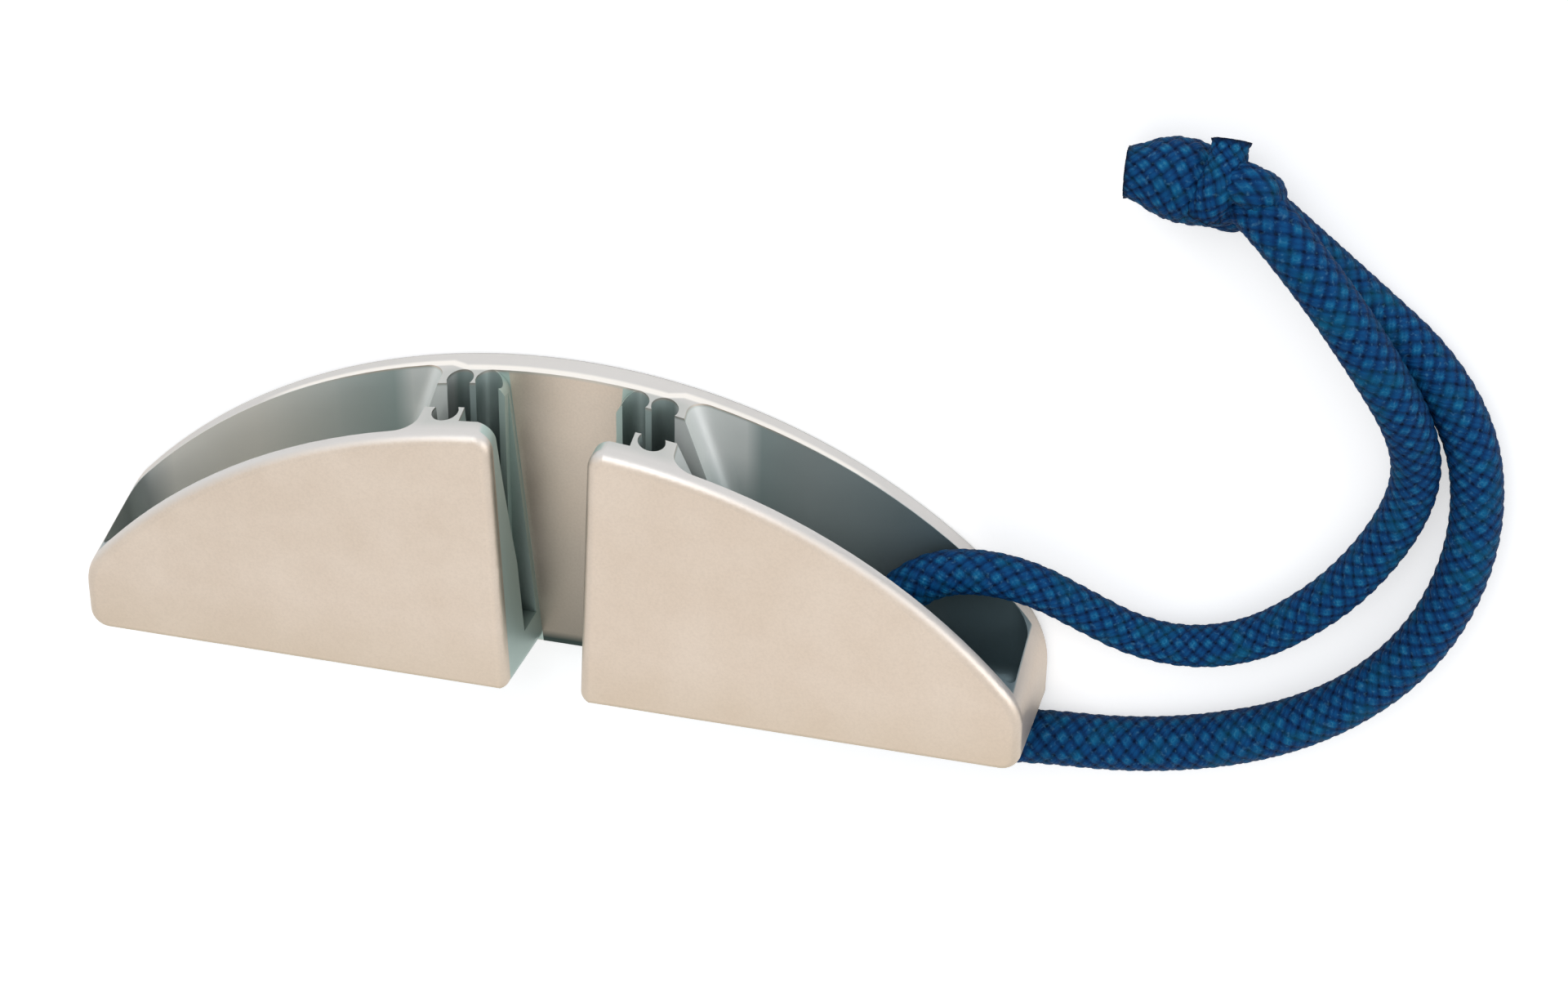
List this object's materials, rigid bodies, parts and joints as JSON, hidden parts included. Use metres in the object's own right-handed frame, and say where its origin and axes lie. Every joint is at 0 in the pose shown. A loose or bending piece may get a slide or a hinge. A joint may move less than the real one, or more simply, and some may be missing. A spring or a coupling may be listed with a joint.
{
  "type": "jam cleat",
  "caption": "Arched cast cleat with pockets, a toothed slot that jams a rope, and a knotted lanyard.",
  "frame": {"origin": "middle of the flat back, on which the cleat lies", "axes": "+X along the cleat towards the lanyard, +Y from the foot up to the crown, +Z from the flat back to the front"},
  "size_m": [0.178, 0.0965, 0.0171],
  "materials": {
    "cast_aluminium": "fine matt blasted casting",
    "blue_braid": "braided polyester"
  },
  "bodies": {
    "root": {"cleat_body": "cast_aluminium", "lanyard_cord": "blue_braid", "lanyard_knot": "blue_braid"}
  },
  "joints": []
}
